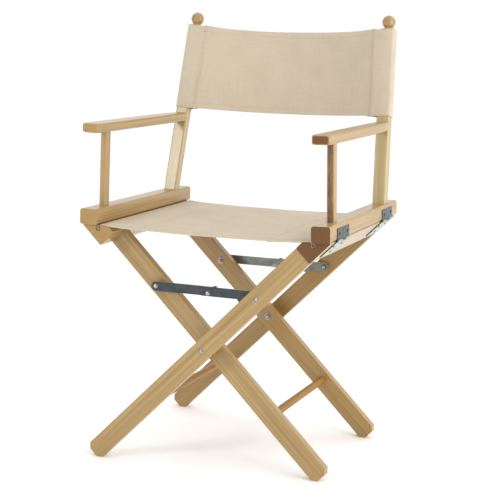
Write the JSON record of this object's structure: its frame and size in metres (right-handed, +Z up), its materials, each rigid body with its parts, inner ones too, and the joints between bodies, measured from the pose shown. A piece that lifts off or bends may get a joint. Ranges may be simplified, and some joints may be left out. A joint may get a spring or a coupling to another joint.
{
  "type": "folding chair",
  "caption": "Wooden folding director's chair: crossed leg frames, folding steel braces, arms hinged to the seat rails, canvas seat and back.",
  "frame": {"origin": "on the floor, under the middle of the open chair's bounding box", "axes": "+X to the sitter's left, -Y the way the chair faces, +Z up"},
  "size_m": [0.5118, 0.4726, 0.865],
  "materials": {
    "frame_wood": "pale beech, thin satin lacquer",
    "arm_wood": "pale beech, thin satin lacquer",
    "dowel_wood": "turned beech, satin",
    "canvas": "undyed cotton canvas",
    "steel": "zinc-plated strip steel",
    "hinge_steel": "zinc-plated, dull",
    "bright_steel": "bright zinc"
  },
  "bodies": {
    "outer_frame": {"outer_leg_front": "frame_wood", "outer_leg_rear": "frame_wood", "seat_rail_right": "frame_wood", "outer_stretcher": "dowel_wood", "leg_pivot_bolts": "bright_steel", "leg_pivot_spacers": "steel", "outer_brace_bolts": "bright_steel", "outer_brace_bushes": "steel", "lower_hinge_leaves_right": "hinge_steel", "hinge_pins_right": "hinge_steel", "lower_hinge_screws_right": "bright_steel", "seat_rod_right": "dowel_wood", "seat_canvas": "canvas"},
    "inner_frame": {"inner_leg_front": "frame_wood", "inner_leg_rear": "frame_wood", "seat_rail_left": "frame_wood", "inner_stretcher": "dowel_wood", "inner_brace_bolts": "bright_steel", "inner_brace_bushes": "steel", "lower_hinge_leaves_left": "hinge_steel", "hinge_pins_left": "hinge_steel", "lower_hinge_screws_left": "bright_steel", "seat_rod_left": "dowel_wood"},
    "right_arm": {"arm_rail_right": "arm_wood", "front_post_right": "arm_wood", "armrest_right": "arm_wood", "back_post_right": "arm_wood", "finial_right": "arm_wood", "upper_hinge_leaves_right": "hinge_steel", "upper_hinge_screws_right": "bright_steel", "back_canvas": "canvas"},
    "left_arm": {"arm_rail_left": "arm_wood", "front_post_left": "arm_wood", "armrest_left": "arm_wood", "back_post_left": "arm_wood", "finial_left": "arm_wood", "upper_hinge_leaves_left": "hinge_steel", "upper_hinge_screws_left": "bright_steel"},
    "front_brace_outer": {"front_link_outer": "steel", "front_rivet_outer": "bright_steel"},
    "front_brace_inner": {"front_link_inner": "steel", "front_rivet_inner": "bright_steel"},
    "rear_brace_outer": {"rear_link_outer": "steel", "rear_rivet_outer": "bright_steel"},
    "rear_brace_inner": {"rear_link_inner": "steel", "rear_rivet_inner": "bright_steel"}
  },
  "joints": [
    {"name": "fold", "type": "hinge", "parent": "outer_frame", "child": "inner_frame", "pos_m": [0, -0.02229, 0.23587], "axis": [0, 1, 0], "range_deg": [0, 70], "deforming": ["seat_canvas", "back_canvas"]},
    {"name": "right_arm_hinge", "type": "hinge", "parent": "outer_frame", "child": "right_arm", "pos_m": [0.25348, -0.02229, 0.46039], "axis": [0, 1, 0], "range_deg": [0, 35]},
    {"name": "left_arm_hinge", "type": "hinge", "parent": "inner_frame", "child": "left_arm", "pos_m": [-0.25348, -0.02229, 0.46039], "axis": [0, 1, 0], "range_deg": [-35, 0]},
    {"name": "front_brace_outer_pivot", "type": "hinge", "parent": "outer_frame", "child": "front_brace_outer", "pos_m": [0.10995, -0.02229, 0.34582], "axis": [0, 1, 0], "range_deg": [0, 112.89]},
    {"name": "front_brace_inner_pivot", "type": "hinge", "parent": "inner_frame", "child": "front_brace_inner", "pos_m": [-0.10995, -0.02229, 0.34582], "axis": [0, 1, 0], "range_deg": [-112.89, 0]},
    {"name": "rear_brace_outer_pivot", "type": "hinge", "parent": "outer_frame", "child": "rear_brace_outer", "pos_m": [0.10995, -0.02229, 0.34582], "axis": [0, 1, 0], "range_deg": [0, 112.89]},
    {"name": "rear_brace_inner_pivot", "type": "hinge", "parent": "inner_frame", "child": "rear_brace_inner", "pos_m": [-0.10995, -0.02229, 0.34582], "axis": [0, 1, 0], "range_deg": [-112.89, 0]}
  ],
  "couplings": [
    {"joint": "right_arm_hinge", "follows": "fold", "ratio": 0.5},
    {"joint": "left_arm_hinge", "follows": "fold", "ratio": -0.5},
    {"joint": "front_brace_outer_pivot", "follows": "fold", "ratio": 1.6125},
    {"joint": "front_brace_inner_pivot", "follows": "fold", "ratio": -1.6125},
    {"joint": "rear_brace_outer_pivot", "follows": "fold", "ratio": 1.6125},
    {"joint": "rear_brace_inner_pivot", "follows": "fold", "ratio": -1.6125}
  ]
}
